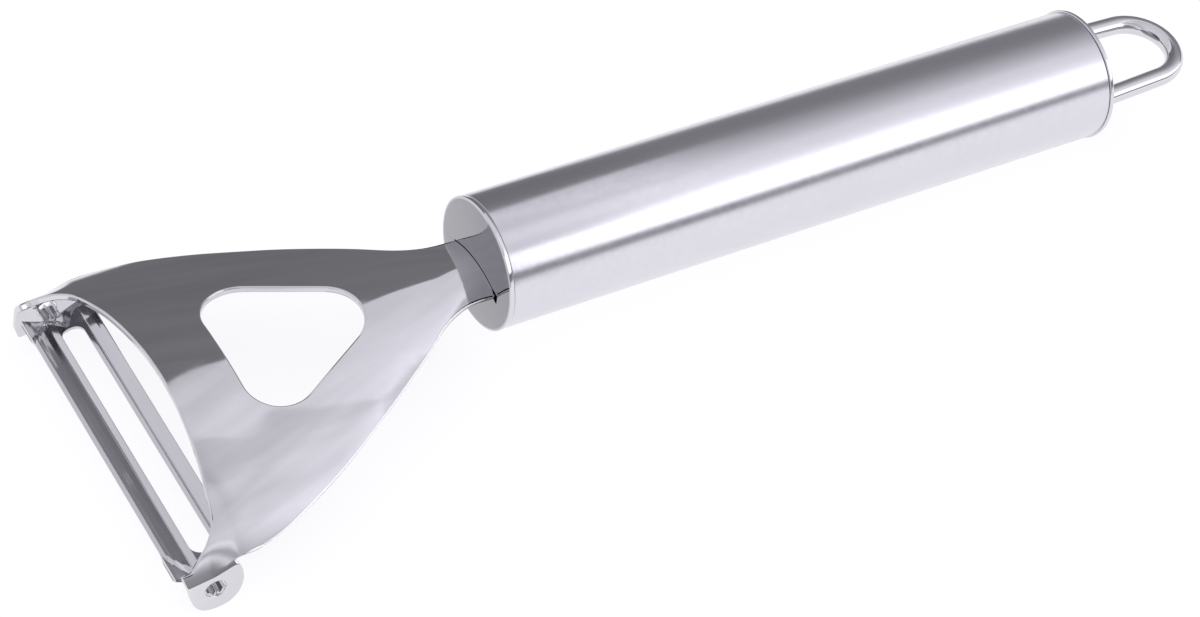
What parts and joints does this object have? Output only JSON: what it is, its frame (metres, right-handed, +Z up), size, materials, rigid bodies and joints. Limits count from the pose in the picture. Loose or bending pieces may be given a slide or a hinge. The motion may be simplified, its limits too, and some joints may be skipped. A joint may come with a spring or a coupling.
{
  "type": "vegetable peeler",
  "caption": "All-steel vegetable peeler: tube handle with hanging loop, arched forked head with a window, and a slotted blade that swivels across the fork.",
  "frame": {"origin": "on the surface the peeler lies on, under the middle of its length and width", "axes": "+X along the peeler from the blade towards the hanging loop, +Y across the blade, +Z up with the head's arched side on top"},
  "size_m": [0.1844, 0.0576, 0.0257],
  "materials": {
    "polished_steel": "pressed stainless sheet, mirror polished",
    "blade_steel": "hardened stainless strip, polished, with ground bevels beside the slot",
    "cap_steel": "pressed stainless, polished face with a rounded rim",
    "satin_steel": "stainless tube, fine satin brushing",
    "wire_steel": "drawn stainless wire, polished",
    "weld_metal": "plain weld bead, hidden inside the handle"
  },
  "bodies": {
    "handle_body": {"head_frame": "polished_steel", "front_cap": "cap_steel", "handle_tube": "satin_steel", "rear_cap": "cap_steel", "hanging_loop": "wire_steel", "tang_weld": "weld_metal", "loop_welds": "weld_metal"},
    "blade_body": {"blade": "blade_steel"}
  },
  "joints": [
    {"name": "blade_swivel", "type": "hinge", "parent": "handle_body", "child": "blade_body", "pos_m": [-0.08754, 0, 0.0044], "axis": [0, 1, 0], "range_deg": [-18, 40]}
  ]
}
